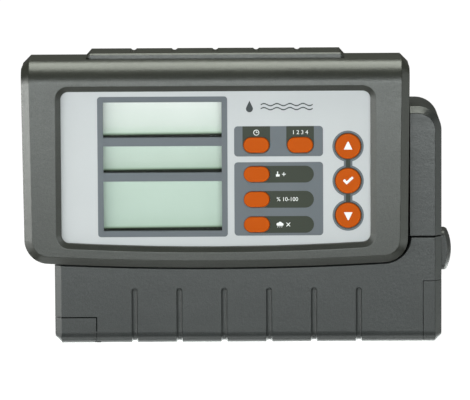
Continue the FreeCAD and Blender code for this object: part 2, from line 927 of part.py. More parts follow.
def tray():
    """Shallow rear shell screwed to the wall, with the button tower, hinge ears and board posts."""
    wall = d.tray_wall

    def is_top(first, last, middle):
        return along_y(first, last) and middle.z > 0

    def is_foot(first, last, middle):
        return along_y(first, last) and middle.z < 0

    body = prism(
        "tray_form",
        rectangle(base_left, base_right, base_foot, base_top),
        0,
        d.tray_depth,
        [(is_top, d.base_corner), (is_foot, d.foot_corner)],
    )
    cavity = prism(
        "tray_cavity",
        rectangle(base_left + wall, base_right - wall, base_foot + wall, base_top - wall),
        wall,
        d.tray_depth,
        [(is_top, d.base_corner - wall)],
    )
    hollow = cut("tray_hollow", body, [cavity])

    tower_foot = d.button_height - d.button_radius - 1.9
    tower = box(
        "tower",
        (base_right - 9, base_right),
        (-(d.tray_depth - 9), -(d.button_depth + d.button_radius + 1.2)),
        (tower_foot, d.cover_top),
    )
    ears = []
    for x in (-60.0, 60.0):
        ears.append(rod("ear_barrel", (x - 3, -hinge_depth, hinge_height), d.hinge_radius, 6, "x"))
        ears.append(
            box("ear_root", (x - 3, x + 3), (-(d.tray_depth - 2), -hinge_depth), (base_foot, base_foot + 4))
        )
    posts = []
    post_holes = []
    for x, z in BOARD_POSTS:
        posts.append(rod("board_post", (x, -2, z), 3, 2.1, "-y"))
        post_holes.append(rod("board_post_hole", (x, -1.2, z), d.screw_radius, 5, "-y"))
    for x, z in FRAME_SCREWS:
        posts.append(rod("frame_post", (x, -2, z), 3.4, d.tray_depth - 2.1, "-y"))
        post_holes.append(rod("frame_post_hole", (x, -5, z), d.screw_radius, 20, "-y"))
    for x in CLAMP_SCREWS:
        posts.append(rod("clamp_post", (x, -2, CLAMP_Z), 3, 13, "-y"))
        post_holes.append(rod("clamp_post_hole", (x, -4, CLAMP_Z), d.screw_radius, 20, "-y"))
    rails = []
    for z in (d.button_height - 7.6, d.button_height + 6.6):
        rails.append(box("latch_rail", (58, 80), (-2, -(d.tray_depth - 0.8)), (z, z + 1)))
    solid = fuse("tray_solid", [hollow, tower] + ears + posts + rails)
    bore = button_outline("tower_bore", base_right - 5.8, 0.3, 8)
    at_stem = (base_right - 12, -d.button_depth, d.button_height)
    stem_hole = rod("tower_stem_hole", at_stem, 4.3, 12, "x")
    pin_holes = []
    for x in (-60.0, 60.0):
        at_pin = (x - 5, -hinge_depth, hinge_height)
        pin_holes.append(rod("ear_pin_hole", at_pin, d.hinge_pin, 10, "x"))
    wall_holes = []
    for x in (-d.wall_hole_x, d.wall_hole_x):
        wall_holes.append(rod("wall_hole", (x, 1, -d.wall_hole_z), d.wall_hole, 6, "-y"))
        wall_holes.append(rod("keyhole_head", (x, 1, d.wall_hole_z - 8), 4.6, 6, "-y"))
        wall_holes.append(rod("keyhole_end", (x, 1, d.wall_hole_z), d.wall_hole, 6, "-y"))
        slot_x = (x - d.wall_hole, x + d.wall_hole)
        wall_holes.append(box("keyhole_slot", slot_x, (1, -5), (d.wall_hole_z - 8, d.wall_hole_z)))
    tools = [bore, stem_hole] + pin_holes + post_holes + wall_holes
    return node("wall_housing", cut("wall_housing", solid, tools))


BOARD_POSTS = [(-58, 26), (46, 26), (-58, -48), (46, -48)]
FRAME_SCREWS = [(-88, 50), (88, 38), (-88, -12), (10, 53)]
CLAMP_SCREWS = [-88, -66]
CLAMP_Z = -49


def docking_frame():
    """Plate behind the control unit and the tall block beside it."""
    top = base_top.number
    front = -d.base_depth.number
    wall = d.tray_wall
    back = d.tray_depth + 0.05

    def is_top_corner(first, last, middle):
        return along_y(first, last) and same(middle.z, top)

    def is_block_corner(first, last, middle):
        return is_top_corner(first, last, middle) and same(middle.x, base_right.number)

    def is_hollow_corner(first, last, middle):
        return along_y(first, last) and middle.x > 90 and middle.z > 40

    def is_block_rim(first, last, middle):
        at_front = same(first.y, front) and same(last.y, front)
        inner_side = same(middle.x, block_left.number)
        return at_front and not inner_side and not same(middle.z, d.block_foot.number)

    points = [
        (base_left, base_top),
        (base_right, base_top),
        (base_right, d.block_foot),
        (latch_side, d.block_foot),
        (latch_side, plate_foot),
        (base_left, plate_foot),
    ]
    plate = prism("plate_form", points, back, d.plate_thick - 0.05, [(is_top_corner, d.base_corner)])
    block = prism(
        "block_form",
        rectangle(block_left, base_right, d.block_foot, base_top),
        back,
        d.base_depth - back,
        [(is_block_corner, d.base_corner)],
    )
    chamfer(block, "block_bevel", is_block_rim, d.base_bevel)
    bevel_back = front + d.base_bevel.number

    def is_bevel_edge(first, last, middle):
        inner_side = same(first.x, block_left.number) and same(last.x, block_left.number)
        at_foot = same(first.z, d.block_foot.number) and same(last.z, d.block_foot.number)
        level = same(first.y, last.y) and (same(first.y, front) or same(first.y, bevel_back))
        return level and not inner_side and not at_foot

    fillet(block, "block_soft", is_bevel_edge, d.soft_edge)
    cavity = prism(
        "block_cavity",
        rectangle(block_left + wall, base_right - wall, d.block_foot + wall, base_top - wall - 1),
        d.tray_depth - 1,
        d.base_depth - d.tray_depth - 2,
        [(is_hollow_corner, d.base_corner - wall - 0.5)],
    )

    mouth = box(
        "block_mouth",
        (block_left + wall, base_right - wall - 1),
        (0, -(plate_front + 1)),
        (d.block_foot + wall, 34),
    )
    tongue_slots = [box("tongue_slot", (x - 0.5, x + 20.5), (0, -30), (43.5, 47.5)) for x in (-75, 25)]
    socket_slot = box("socket_slot", (-37, 5), (0, -30), (4, 16))
    catch_slot = box(
        "catch_slot",
        (latch_side - 16.5, latch_side - 11.5),
        (0, -30),
        (d.button_height - 3.1, d.button_height + 3.1),
    )
    screw_holes = []
    for x, z in FRAME_SCREWS:
        screw_holes.append(rod("frame_screw_hole", (x, 0, z), d.screw_radius + 0.15, 30, "-y"))
    solid = fuse("frame_solid", [plate, block])
    tools = [cavity, mouth, socket_slot, catch_slot] + tongue_slots + screw_holes
    tools.append(rod("frame_screw_seat_right", (88, -(plate_front - 1.2), 38), 3.0, 27, "-y"))
    for x, z in FRAME_SCREWS:
        tools.append(rod("frame_screw_seat", (x, -(plate_front - 1.2), z), 3.0, 3, "-y"))
    return node("docking_frame", cut("docking_frame", solid, tools))


def frame_screws():
    """Screws that hold the docking frame to the tray: sunk flush, under the control unit."""
    made = []
    for number, (x, z) in enumerate(FRAME_SCREWS):
        blank = rod(f"frame_screw_{number}_head", (x, -(plate_front - 1.15), z), 2.6, 1.1, "-y")
        shank = rod(f"frame_screw_{number}_shank", (x, -(plate_front - 1.1), z), d.screw_radius, 12, "y")
        slot = box("frame_slot", (x - 1.7, x + 1.7), (-(plate_front - 0.7), -30), (z - 0.35, z + 0.35))
        made.append(cut(f"frame_screw_{number}", fuse(f"frame_blank_{number}", [blank, shank]), [slot]))
    return node("frame_screws", group("frame_screws", made))


def base_board():
    """Driver board on four posts, with its screws, relays and capacitors."""
    back = 4.1
    board = box("base_board_blank", (-62, 50), (-back, -(back + 1.6)), (-52, 30))
    holes = [rod("base_board_hole", (x, 0, z), 1.7, 9, "-y") for x, z in BOARD_POSTS]
    node("base_circuit_board", cut("base_circuit_board", board, holes))
    made = []
    for number, (x, z) in enumerate(BOARD_POSTS):
        made.append(screw(f"board_screw_{number}", (x, -(back + 1.65), z), 4.4, "y", 2.5))
    node("board_screws", group("board_screws", made))
    face = back + 1.6
    parts = [box("triac", (x, x + 6), (-face, -(face + 4)), (-30, -20)) for x in (-48, -38, -28, -18, -8, 2)]
    parts.append(rod("filter_capacitor", (32, -face, -4), 4.5, 9, "-y"))
    parts.append(box("fuse_holder", (22, 42), (-face, -(face + 7)), (-28, -21)))
    parts.append(box("regulator", (18, 28), (-face, -(face + 5)), (14, 24)))
    node("base_board_parts", group("base_board_parts", parts))


TERMINAL_BLOCKS = {
    "valve_terminal_block": (-50, 8),
    "sensor_terminal_block": (2, 3),
    "power_terminal_block": (30, 2),
}
TERMINAL_PITCH = 5.0
TERMINAL_Z = (-49, -38)


def terminals():
    """Three screw-terminal blocks with wire mouths facing down, and their clamp screws."""
    back = 5.75
    front = 17.5
    low, high = TERMINAL_Z
    screws = []
    for name, (left, poles) in TERMINAL_BLOCKS.items():
        right = left + poles * TERMINAL_PITCH
        body = box(name + "_body", (left, right), (-back, -front), (low, high))
        step = box(name + "_step", (left - 1, right + 1), (-(front - 3.5), -(front + 1)), (high - 3.5, high + 1))
        tools = [step]
        for pole in range(poles):
            x = left + (pole + 0.5) * TERMINAL_PITCH
            tools.append(rod(name + "_well", (x, -(front - 2.5), low + 3.8), 1.9, 4, "-y"))
            tools.append(box(name + "_mouth", (x - 1.6, x + 1.6), (-(back + 3), -(back + 6.5)), (low - 1, low + 6)))
            head = rod(f"{name}_screw_{pole}", (x, -(front - 2.45), low + 3.8), 1.7, 1.7, "-y")
            slot_x = (x - 1.3, x + 1.3)
            slot_z = (low + 3.5, low + 4.1)
            slot = box(f"{name}_slot_{pole}", slot_x, (-(front - 1.4), -front), slot_z)
            screws.append(cut(f"{name}_clamp_{pole}", head, [slot]))
        node(name, cut(name, body, tools))
    node("terminal_screws", group("terminal_screws", screws))


def cable_clamp():
    """Bridge that grips the valve cable inside its entry, with two screws."""
    left, right = CLAMP_SCREWS
    bar = box("clamp_bar", (left - 3.5, right + 3.5), (-15.1, -18.6), (CLAMP_Z - 3, CLAMP_Z + 3))
    saddle = rod("clamp_saddle", ((left + right) / 2, -14.2, CLAMP_Z - 4), 3.2, 8, "z")
    holes = [rod("clamp_hole", (x, -14, CLAMP_Z), d.screw_radius + 0.15, 6, "-y") for x in CLAMP_SCREWS]
    node("cable_clamp", cut("cable_clamp", bar, [saddle] + holes))
    made = []
    for number, x in enumerate(CLAMP_SCREWS):
        made.append(screw(f"clamp_screw_{number}", (x, -18.65, CLAMP_Z), 12, "y"))
    node("clamp_screws", group("clamp_screws", made))


def button_outline(name, x, slack, length):
    """The button's rounded square, carried to the right from x."""
    y = -d.button_depth
    z = d.button_height
    half = d.button_radius + slack
    body = new_body(name)
    corners = rectangle(y - half, y + half, z - half, z + half)
    sketch = outline(body, name + "_outline", "YZ_Plane", corners, x)
    pad(body, name + "_pad", sketch, length)

    def is_side_corner(first, last, middle):
        return same(first.y, last.y) and same(first.z, last.z)

    fillet(body, name + "_corners", is_side_corner, d.button_corner + slack)
    return body


def release():
    """Push button on the right side, the latch slide that it drives, and its return spring."""
    y = -d.button_depth
    z = d.button_height
    rim = base_right + d.button_proud - d.button_dome
    inner = base_right - 1.3
    radius = d.button_radius
    drum = button_outline("button_drum", inner, 0, rim + d.button_dome - inner)
    dome_radius = arc_radius(radius, d.button_dome)
    dome = doc.addObject("Part::Sphere", "button_sphere")
    bind(dome, "Radius", dome_radius)
    place(dome, (rim + d.button_dome - dome_radius, y, z))
    cap = common("button_dome_cap", [dome, drum])
    stem = rod("button_stem", (base_right - 12.5, y, z), 4, 16, "x")
    hollow = rod("button_hollow", (inner - 1, y, z), 8.2, 4.5, "x")
    ring = cut("button_cup", cap, [hollow])
    node("release_button", fuse("release_button", [ring, stem]))

    arm_x = (base_right - 14.1, base_right - 12.55)
    arm = box("latch_arm", arm_x, (-12.8, y - 3.8), (z - 3.8, z + 3.8))
    bar_x = (latch_side - 21, base_right - 12.55)
    bar = box("latch_bar", bar_x, (-12.8, -15.8), (z - 5.6, z + 5.6))
    window_x = (latch_side - 16.4, latch_side - 8.6)
    window = box("latch_window", window_x, (-10, -18), (z - 3.1, z + 3.1))
    node("latch_slide", cut("latch_slide", fuse("latch_blank", [arm, bar]), [window]))

    helix = doc.addObject("Part::Helix", "spring_path")
    bind(helix, "Radius", 6.2)
    bind(helix, "Pitch", 1.5)
    bind(helix, "Height", 4.5)
    place(helix, (base_right - 5.2, y, z), TURNS["x"])
    wire = doc.addObject("Part::RegularPolygon", "spring_section")
    wire.Polygon = 8
    bind(wire, "Circumradius", 0.38)
    place(wire, (base_right - 5.2, y, z - 6.2), FreeCAD.Rotation(V(1, 0, 0), 90))
    sweep = doc.addObject("Part::Sweep", "release_spring")
    sweep.Sections = [wire]
    sweep.Spine = (helix, [])
    sweep.Solid = True
    sweep.Frenet = True
    node("release_spring", sweep)


# ---------------------------------------------------------------- terminal cover


def cover_profile(name, inset, top, back, width, round_off):
    """The cover's side profile carried across the width, with its front foot rounded."""
    body = new_body(name)
    front = inset - d.base_depth
    foot = base_foot + inset
    points = [(front, top), (front, foot), (back, foot), (back, top)]
    sketch = outline(body, name + "_profile", "YZ_Plane", points, 0)
    pad(body, name + "_pad", sketch, width, midplane=True)

    def is_front_foot(first, last, middle):
        return same(middle.y, front.number) and same(middle.z, foot.number) and same(first.y, last.y)

    fillet(body, name + "_round", is_front_foot, round_off)
    return body


def cover_shell():
    """Hollow cover before its cut-outs: bevelled at both ends, with a barrel along its back foot."""
    back = -(d.tray_depth + 0.3)
    outer = cover_profile("cover_form", size(0), d.cover_top, back, d.base_width, d.cover_round)
    top = d.cover_top.number
    side = base_right.number

    def is_end_rim(first, last, middle):
        at_end = same(abs(middle.x), side)
        is_back = same(first.y, back.number) and same(last.y, back.number)
        is_top = same(first.z, top) and same(last.z, top)
        return at_end and not is_back and not is_top

    chamfer(outer, "cover_bevel", is_end_rim, d.base_bevel)
    front = -d.base_depth.number
    inner_edge = side - d.base_bevel.number

    def is_bevel_edge(first, last, middle):
        inner = same(abs(first.x), inner_edge) and same(abs(last.x), inner_edge)
        along_front = inner and same(first.y, front) and same(last.y, front)
        outer_edge = same(abs(first.x), side) and same(abs(last.x), side)
        depth = front + d.base_bevel.number
        return along_front or outer_edge and same(first.y, depth) and same(last.y, depth)

    fillet(outer, "cover_soft", is_bevel_edge, d.soft_edge)
    wall = d.cover_wall
    width = d.base_width - wall * 2
    inner = cover_profile(
        "cover_hollow", wall, d.cover_top + 5, back + 5, width, d.cover_round - wall
    )
    barrel_y = -hinge_depth
    barrel_top = base_foot + d.hinge_radius * 2
    keep = box(
        "barrel_keep",
        (base_left - 1, base_right + 1),
        (0, barrel_y - d.hinge_radius - 1.5),
        (base_foot - 1, barrel_top),
    )
    corner = box(
        "barrel_corner",
        (base_left - 1, base_right + 1),
        (back + 1, barrel_y),
        (base_foot - 1, hinge_height),
    )
    at_barrel = (base_left - 2, barrel_y, hinge_height)
    barrel = rod("barrel_form", at_barrel, d.hinge_radius, d.base_width + 4, "x")
    waste = cut("barrel_waste", corner, [barrel])
    hollow = cut("cover_hollow_shape", inner, [keep])
    over_barrel = box(
        "over_barrel",
        (base_left - 1, base_right + 1),
        (0, barrel_y - 0.4),
        (barrel_top, barrel_top + 6),
    )
    return cut("cover_shell", outer, [hollow, waste, over_barrel])


def cover_grooves():
    """Six finger grooves that run down the cover's face and turn under its foot."""
    radius = d.groove_radius
    front = d.base_depth + d.groove_lift
    bend = d.cover_round + d.groove_lift
    tools = []
    for step in range(6):
        x = d.groove_pitch * (step - 2.5) - 0.8
        foot = base_foot + d.cover_round
        tools.append(rod("groove_face", (x, -front, foot), radius, d.groove_top - foot, "z"))
        end = doc.addObject("Part::Sphere", "groove_end")
        bind(end, "Radius", radius)
        place(end, (x, -front, d.groove_top))
        turn = doc.addObject("Part::Torus", "groove_turn")
        bind(turn, "Radius1", bend)
        bind(turn, "Radius2", radius)
        place(turn, (x, -(d.base_depth - d.cover_round), foot), TURNS["x"])
        at_foot = (x, -(d.base_depth - d.cover_round), base_foot - d.groove_lift)
        under = rod("groove_foot", at_foot, radius, 12, "y")
        zone = box("groove_zone", (x - 3, x + 3), (-(front + 3), -(d.base_depth - d.cover_round)), (base_foot - 3, foot))
        quarter = common("groove_quarter", [turn, zone])
        tools.append(fuse("groove_tool", [end, quarter, under]))
    return tools


def terminal_cover():
    """Hinged lower cover, shaped round the control unit, with a cable entry in each lower corner."""
    shell = cover_shell()
    clearance = unit_form(
        "unit_clearance", -d.cover_gap, size(10), size(60), d.unit_corner + d.cover_gap
    )
    left_zone = cover_corner("left_entry", base_left, d.left_shutter_width, d.left_shutter_top, 0)
    right_zone = cover_corner("right_entry", base_right, -d.right_shutter_width, d.right_shutter_top, 0)
    tower_gap = box(
        "tower_gap",
        (base_right - 10, base_right + 1),
        (0, -(d.button_depth + d.button_radius + 1.6)),
        (d.button_height - d.button_radius - 2.4, 0),
    )
    post_gap = box("left_top_gap", (base_left - 1, latch_side - 2), (0, -(plate_front + 0.4)), (plate_foot - 0.4, 0))
    ear_gaps = []
    bores = []
    for x in (-60.0, 60.0):
        ear_gaps.append(
            box("ear_gap", (x - 3.4, x + 3.4), (0, -(hinge_depth + d.hinge_radius + 1.4)), (base_foot - 1, base_foot + 6))
        )
        at_bore = (x - 9.5, -hinge_depth, hinge_height)
        bores.append(rod("cover_pin_bore", at_bore, d.hinge_pin + d.hinge_slack, 19, "x"))
    guides = [
        box("left_guide", left_tongue_x(0.25), tongue_y(0.25), (base_foot - 1, d.left_shutter_top + 0.3)),
        box("right_guide", (right_tongue_x(0)[0], base_right + 1), tongue_y(0.25), right_tongue_z(0.25)),
    ]
    tools = [clearance, left_zone, right_zone, tower_gap, post_gap] + ear_gaps + bores + guides
    cut_cover = cut("cover_cut", shell, tools + cover_grooves())
    front = -d.base_depth.number

    def is_upper_edge(first, last, middle):
        level = same(first.y, front) and same(last.y, front) and same(middle.y, front)
        return level and middle.z > plate_foot.number - 3 and not same(first.x, last.x)

    node("terminal_cover", soften("terminal_cover", cut_cover, is_upper_edge, d.cover_edge))
    shutters(shell)


def cover_corner(name, side, width, top, slack):
    """Zone of a cable entry: the corner of the cover from its side wall inwards."""
    out = size(1.0) if side.number > 0 else size(-1.0)
    inner = side + width + slack * out
    depth_low = d.base_depth - 24 + slack
    return box(name, (side + out * 2, inner), (-depth_low, -(d.base_depth + 2)), (base_foot - 2, top - slack))


def left_tongue_x(slack):
    edge = base_left + d.left_shutter_width
    return (edge - 1, edge + 1.8 + slack)


def right_tongue_x(slack):
    edge = base_right - d.right_shutter_width
    return (edge + 0.6 - slack, base_right - 2.6)


def right_tongue_z(slack):
    return (d.right_shutter_top - 1, d.right_shutter_top + 1.8 + slack)


def tongue_y(slack):
    front = d.base_depth - d.cover_wall - 0.2
    return (-(front - 1.4 - slack), -(front + slack))


def shutters(shell):
    """Blanking pieces of the two cable entries, each with a tongue that slides in the cover."""
    gap = d.shutter_gap
    left = cover_corner("left_zone", base_left, d.left_shutter_width, d.left_shutter_top, gap)
    left_wall = common("left_wall", [shell, left])
    left_tongue = box(
        "left_tongue", left_tongue_x(0), tongue_y(0), (base_foot + 0.6, d.left_shutter_top - 1)
    )
    link = box(
        "left_link",
        (base_left + d.left_shutter_width - 3, base_left + d.left_shutter_width - gap),
        (tongue_y(0)[0], -(d.base_depth - 1)),
        (base_foot + 2, d.left_shutter_top - 1),
    )
    node("left_cable_shutter", fuse("left_cable_shutter", [left_wall, left_tongue, link]))
    right = cover_corner("right_zone", base_right, -d.right_shutter_width, d.right_shutter_top, gap)
    right_wall = common("right_wall", [shell, right])
    right_tongue = box("right_tongue", right_tongue_x(0), tongue_y(0), right_tongue_z(0))
    link = box(
        "right_link",
        right_tongue_x(0),
        (tongue_y(0)[0], -(d.base_depth - 1)),
        (d.right_shutter_top - 3, d.right_shutter_top - gap),
    )
    node("right_cable_shutter", fuse("right_cable_shutter", [right_wall, right_tongue, link]))


def hinge_pins():
    """Two steel pins, each held in an ear of the tray."""
    pins = []
    for x in (-60.0, 60.0):
        pins.append(rod("hinge_pin", (x - 9, -hinge_depth, hinge_height), d.hinge_pin, 18, "x"))
    node("hinge_pins", group("hinge_pins", pins))


# ---------------------------------------------------------------- build and export


def check():
    """Stop if any object failed or any sub-part is not one or more valid solids."""
    doc.recompute()
    for thing in doc.Objects:
        if "Invalid" in thing.State or "Error" in thing.State:
            raise RuntimeError(f"{thing.Label} failed: {thing.State}")
    for name, thing in nodes.items():
        shape = thing.Shape
        if shape.isNull() or not shape.isValid() or not shape.Solids:
            raise RuntimeError(f"{name} is not a valid solid")
        thing.Label = name


def export():
    os.makedirs(OUT, exist_ok=True)
    for old in os.listdir(OUT):
        os.remove(os.path.join(OUT, old))
    for name, thing in nodes.items():
        thing.Shape.exportStep(os.path.join(OUT, name + ".step"))
        print(f"{name}: {len(thing.Shape.Solids)} solids, {thing.Shape.Volume / 1000:.2f} cm3")


control_housing()
rear_cover()
battery_door()
battery()
face_panel()
keys()
keypad_mat()
display()
control_board()
dock_connector()
unit_screws()
tray()
docking_frame()
frame_screws()
base_board()
terminals()
cable_clamp()
release()
terminal_cover()
hinge_pins()
check()
export()
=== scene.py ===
"""Looks of a wall-mounted irrigation controller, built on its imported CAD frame."""

import math
import bpy
from mathutils import Matrix, Vector


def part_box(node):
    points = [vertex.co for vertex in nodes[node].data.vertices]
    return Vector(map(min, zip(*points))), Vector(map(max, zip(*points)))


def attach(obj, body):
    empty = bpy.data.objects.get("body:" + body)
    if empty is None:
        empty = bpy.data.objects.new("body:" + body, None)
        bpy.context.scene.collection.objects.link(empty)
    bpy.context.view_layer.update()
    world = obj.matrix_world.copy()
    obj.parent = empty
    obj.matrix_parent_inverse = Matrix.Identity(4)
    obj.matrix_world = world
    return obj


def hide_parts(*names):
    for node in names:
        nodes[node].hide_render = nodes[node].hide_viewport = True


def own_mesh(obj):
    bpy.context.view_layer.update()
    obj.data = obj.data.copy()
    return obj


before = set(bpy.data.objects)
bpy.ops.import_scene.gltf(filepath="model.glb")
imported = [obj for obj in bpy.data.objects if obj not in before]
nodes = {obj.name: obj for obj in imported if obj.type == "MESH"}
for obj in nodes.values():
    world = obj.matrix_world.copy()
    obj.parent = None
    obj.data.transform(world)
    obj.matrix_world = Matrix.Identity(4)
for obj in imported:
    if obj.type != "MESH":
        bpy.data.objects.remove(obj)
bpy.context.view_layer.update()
MM = 0.001


# ---------------------------------------------------------------- materials


def linear(rgb):
    """Linear colour from display values of 0 to 255."""
    out = []
    for v in rgb:
        v = v / 255
        out.append(v / 12.92 if v <= 0.04045 else ((v + 0.055) / 1.055) ** 2.4)
    return out


class Nodes:
    """Short names for building one material's node tree."""

    def __init__(self, name):
        self.material = bpy.data.materials.new(name)
        self.material.use_nodes = True
        self.tree = self.material.node_tree
        self.shader = self.tree.nodes["Principled BSDF"]
        self.place = self.new("ShaderNodeTexCoord").outputs["Object"]

    def new(self, kind):
        return self.tree.nodes.new(kind)

    def link(self, a, b):
        self.tree.links.new(a, b)

    def noise(self, scale, detail=2.0, rough=0.5, stretch=None):
        node = self.new("ShaderNodeTexNoise")
        node.inputs["Scale"].default_value = scale
        node.inputs["Detail"].default_value = detail
        node.inputs["Roughness"].default_value = rough
        source = self.place
        if stretch:
            mapping = self.new("ShaderNodeMapping")
            mapping.inputs["Scale"].default_value = stretch
            self.link(self.place, mapping.inputs["Vector"])
            source = mapping.outputs["Vector"]
        self.link(source, node.inputs["Vector"])
        return node.outputs["Fac"]

    def ramp(self, value, stops):
        node = self.new("ShaderNodeValToRGB")
        while len(node.color_ramp.elements) < len(stops):
            node.color_ramp.elements.new(0.5)
        for element, (position, colour) in zip(node.color_ramp.elements, stops):
            element.position = position
            element.color = (*colour, 1) if len(colour) == 3 else colour
        self.link(value, node.inputs["Fac"])
        return node.outputs["Color"]

    def multiply(self, first, second):
        node = self.new("ShaderNodeMixRGB")
        node.blend_type = "MULTIPLY"
        node.inputs["Fac"].default_value = 1
        self.link(first, node.inputs["Color1"])
        self.link(second, node.inputs["Color2"])
        return node.outputs["Color"]

    def spread(self, value, low, high):
        node = self.new("ShaderNodeMapRange")
        node.inputs["To Min"].default_value = low
        node.inputs["To Max"].default_value = high
        self.link(value, node.inputs["Value"])
        return node.outputs["Result"]

    def bump(self, heights):
        """Chain bump nodes: pairs of height output and depth in metres."""
        before = None
        for height, depth in heights:
            node = self.new("ShaderNodeBump")
            node.inputs["Distance"].default_value = depth
            self.link(height, node.inputs["Height"])
            if before is not None:
                self.link(before, node.inputs["Normal"])
            before = node.outputs["Normal"]
        self.link(before, self.shader.inputs["Normal"])

    def set(self, **values):
        for name, value in values.items():
            self.shader.inputs[name.replace("_", " ")].default_value = value
        return self.material


def shade(colour, factor):
    """Lighter or darker version of a linear colour."""
    return [min(1.0, c * factor) for c in colour]


def moulded(name, colour, rough=0.42, grain=0.45, depth=0.00002, gloss=0.5, streak=1.0):
    """Moulded plastic with a spark-eroded skin: fine grain, faint flow marks, slightly uneven gloss."""
    m = Nodes(name)
    skin = m.noise(1 / (grain * MM), 3, 0.6)
    pores = m.noise(1 / (grain * 3.2 * MM), 2, 0.5)
    flow = m.noise(22 * streak, 3, 0.55, stretch=(1 / streak, 1, 1))
    base = linear(colour)
    tone = m.ramp(flow, [(0.3, shade(base, 0.88)), (0.7, shade(base, 1.12))])
    fleck = m.ramp(skin, [(0.38, [0.7] * 3), (0.62, [1.3] * 3)])
    m.link(m.multiply(tone, fleck), m.shader.inputs["Base Color"])
    streaks = m.noise(150 * streak, 2, 0.5, stretch=(0.3 / streak, 1, 1))
    gloss_map = m.new("ShaderNodeMath")
    m.link(m.spread(pores, rough - 0.07, rough + 0.09), gloss_map.inputs[0])
    m.link(m.spread(streaks, -0.035 * streak, 0.035 * streak), gloss_map.inputs[1])
    m.link(gloss_map.outputs["Value"], m.shader.inputs["Roughness"])
    m.bump([(flow, 0.00014 / streak), (pores, depth * 2.5), (skin, depth * 1.5)])
    return m.set(Specular_IOR_Level=gloss)


def film(name, colour, rough=0.3, depth=0.000008, variation=0.02, gloss=0.12):
    """Printed or lacquered film: an even colour with a faint orange peel."""
    m = Nodes(name)
    peel = m.noise(900, 2, 0.5)
    cloud = m.noise(25, 2, 0.5)
    base = linear(colour)
    tone = m.ramp(cloud, [(0.3, shade(base, 1 - variation)), (0.7, shade(base, 1 + variation))])
    m.link(tone, m.shader.inputs["Base Color"])
    m.link(m.spread(peel, rough - 0.03, rough + 0.04), m.shader.inputs["Roughness"])
    m.bump([(peel, depth)])
    return m.set(Specular_IOR_Level=gloss)


def metal(name, colour, rough=0.3, grain=(1, 1, 12)):
    """Plated steel with fine drawn lines."""
    m = Nodes(name)
    lines = m.noise(900, 3, 0.6, stretch=grain)
    base = linear(colour)
    tone = m.ramp(lines, [(0.3, shade(base, 0.85)), (0.7, shade(base, 1.1))])
    m.link(tone, m.shader.inputs["Base Color"])
    m.link(m.spread(lines, rough - 0.08, rough + 0.1), m.shader.inputs["Roughness"])
    m.bump([(lines, 0.00001)])
    return m.set(Metallic=1.0)


def clear(name):
    """Thin clear plastic over the display: mostly see-through, with a faint gloss."""
    m = Nodes(name)
    haze = m.noise(300, 2, 0.5)
    m.link(m.spread(haze, 0.03, 0.07), m.shader.inputs["Roughness"])
    m.material.surface_render_method = "BLENDED"
    return m.set(Base_Color=(0.2, 0.22, 0.2, 1), Alpha=0.03, Specular_IOR_Level=0.3)


def board(name):
    """Green solder mask over faint copper runs."""
    m = Nodes(name)
    brick = m.new("ShaderNodeTexBrick")
    brick.inputs["Scale"].default_value = 180
    brick.inputs["Mortar Size"].default_value = 0.08
    brick.inputs["Color1"].default_value = (*linear((18, 84, 48)), 1)
    brick.inputs["Color2"].default_value = (*linear((20, 92, 52)), 1)
    brick.inputs["Mortar"].default_value = (*linear((34, 116, 66)), 1)
    m.link(m.place, brick.inputs["Vector"])
    m.link(brick.outputs["Color"], m.shader.inputs["Base Color"])
    m.bump([(brick.outputs["Fac"], 0.00003)])
    return m.set(Roughness=0.35)


STRIP_CLIMB = 0.007  # how far the display fields' colour bands climb to the right, per unit
STRIP_LIFT = 0.3  # how far above a field's foot its lowest band starts, mm


def display_glass_and_painted_light(name, foot, top, stops):
    """Display field coloured by height: a black strip at its foot, a painted shadow of the rim, then
    pale grey-green to its top, lightened upward as a painted reflection.
    """
    m = Nodes(name)
    tilt = m.new("ShaderNodeVectorMath")
    tilt.operation = "DOT_PRODUCT"
    tilt.inputs[1].default_value = (-STRIP_CLIMB, 0, 1)
    m.link(m.place, tilt.inputs[0])
    height = m.new("ShaderNodeMapRange")
    height.inputs["From Min"].default_value = (foot + STRIP_LIFT) * MM
    height.inputs["From Max"].default_value = (top + STRIP_LIFT) * MM
    m.link(tilt.outputs["Value"], height.inputs["Value"])
    reach = top - foot
    tone = m.ramp(height.outputs["Result"], [(h / reach, linear(c)) for h, c in stops])
    cloud = m.noise(40, 3, 0.5)
    veil = m.ramp(cloud, [(0.3, [0.97, 0.98, 0.97]), (0.7, [1.02, 1.02, 1.02])])
    m.link(m.multiply(tone, veil), m.shader.inputs["Base Color"])
    m.link(m.spread(cloud, 0.3, 0.4), m.shader.inputs["Roughness"])
    return m.set(Specular_IOR_Level=0.08)


SHELL = moulded("shell_plastic", (43, 44, 39), rough=0.34, gloss=0.75)
BASE = moulded("base_plastic", (42, 44, 44), rough=0.36, gloss=0.68, streak=3.0)
BUTTON = moulded("button_plastic", (57, 58, 57), rough=0.42, depth=0.00001, gloss=0.8)
WHITE = film("panel_white_film", (202, 203, 206), rough=0.34)
GREY = film("print_grey", (109, 114, 120), rough=0.34)
DARK = film("print_dark", (66, 70, 62), rough=0.36, gloss=0.08)
LEGEND = film("print_legend_white", (246, 247, 246), rough=0.4)
ORANGE = film(
    "key_orange_plastic", (194, 84, 13), rough=0.45, depth=0.000012, variation=0.03, gloss=0.05
)
SHADOW = moulded("display_well_black", (22, 26, 18), rough=0.5, gloss=0.2)
STEEL = metal("zinc_steel", (190, 190, 192))
# Black for the painted shadow laid over the left shutter's gap.
GAP_SHADOW_PAINT = moulded("gap_shadow_black", (7, 8, 7), rough=0.8, gloss=0.04)
RUBBER = moulded("black_rubber", (26, 26, 26), rough=0.7, gloss=0.3)
SILICONE = moulded("keypad_silicone", (196, 196, 190), rough=0.6, gloss=0.3)
BOARD = board("solder_mask")
CHIP = moulded("chip_epoxy", (30, 30, 32), rough=0.5)
CONNECTOR = moulded("connector_plastic", (34, 34, 36), rough=0.45)
TERMINAL = moulded("terminal_plastic", (138, 146, 138), rough=0.42)
CELL = film("battery_jacket", (46, 50, 60), rough=0.28, gloss=0.5)
